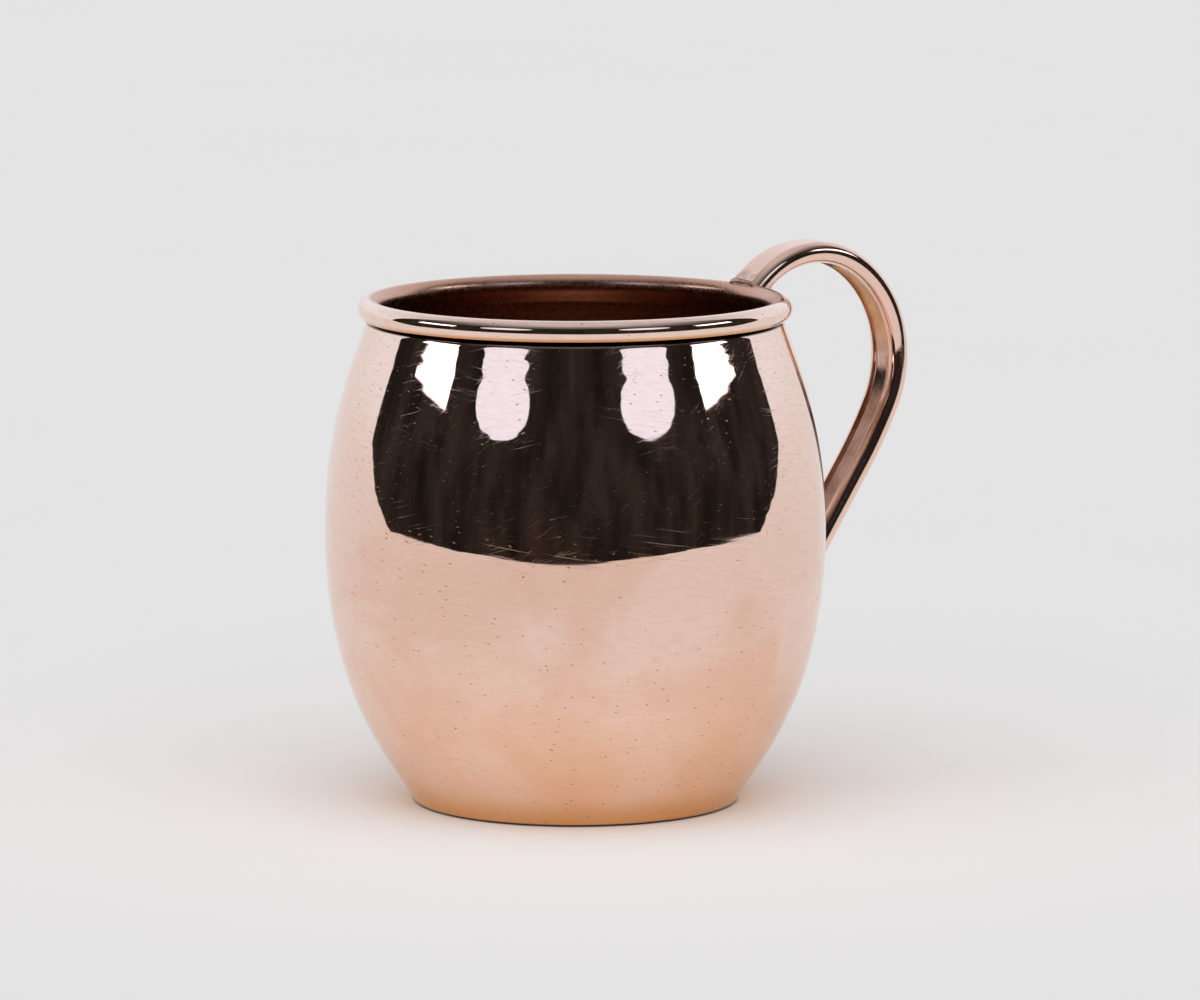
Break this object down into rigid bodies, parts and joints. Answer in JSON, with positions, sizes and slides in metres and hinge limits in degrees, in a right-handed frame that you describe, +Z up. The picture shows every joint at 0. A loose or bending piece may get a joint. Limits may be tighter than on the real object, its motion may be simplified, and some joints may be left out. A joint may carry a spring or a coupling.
{
  "type": "copper mug",
  "caption": "Barrel-shaped drinking mug spun from polished copper sheet, with a flat base, a rolled rim and a brazed strap handle.",
  "frame": {"origin": "centre of the flat base, on its underside", "axes": "+Z up the mug's axis to the mouth, +X from the axis towards the handle, +Y across the handle"},
  "size_m": [0.118, 0.091, 0.0991],
  "materials": {
    "polished_copper": "mirror-polished copper with fine buffing lines, warmer and duller near the foot, satin inside",
    "handle_copper": "polished copper outside, tarnished brown with small pits on the inner face",
    "brazing_metal": "dull brassy brazing metal"
  },
  "bodies": {
    "root": {"body_shell": "polished_copper", "handle_strap": "handle_copper", "upper_braze": "brazing_metal", "lower_braze": "brazing_metal"}
  },
  "joints": []
}
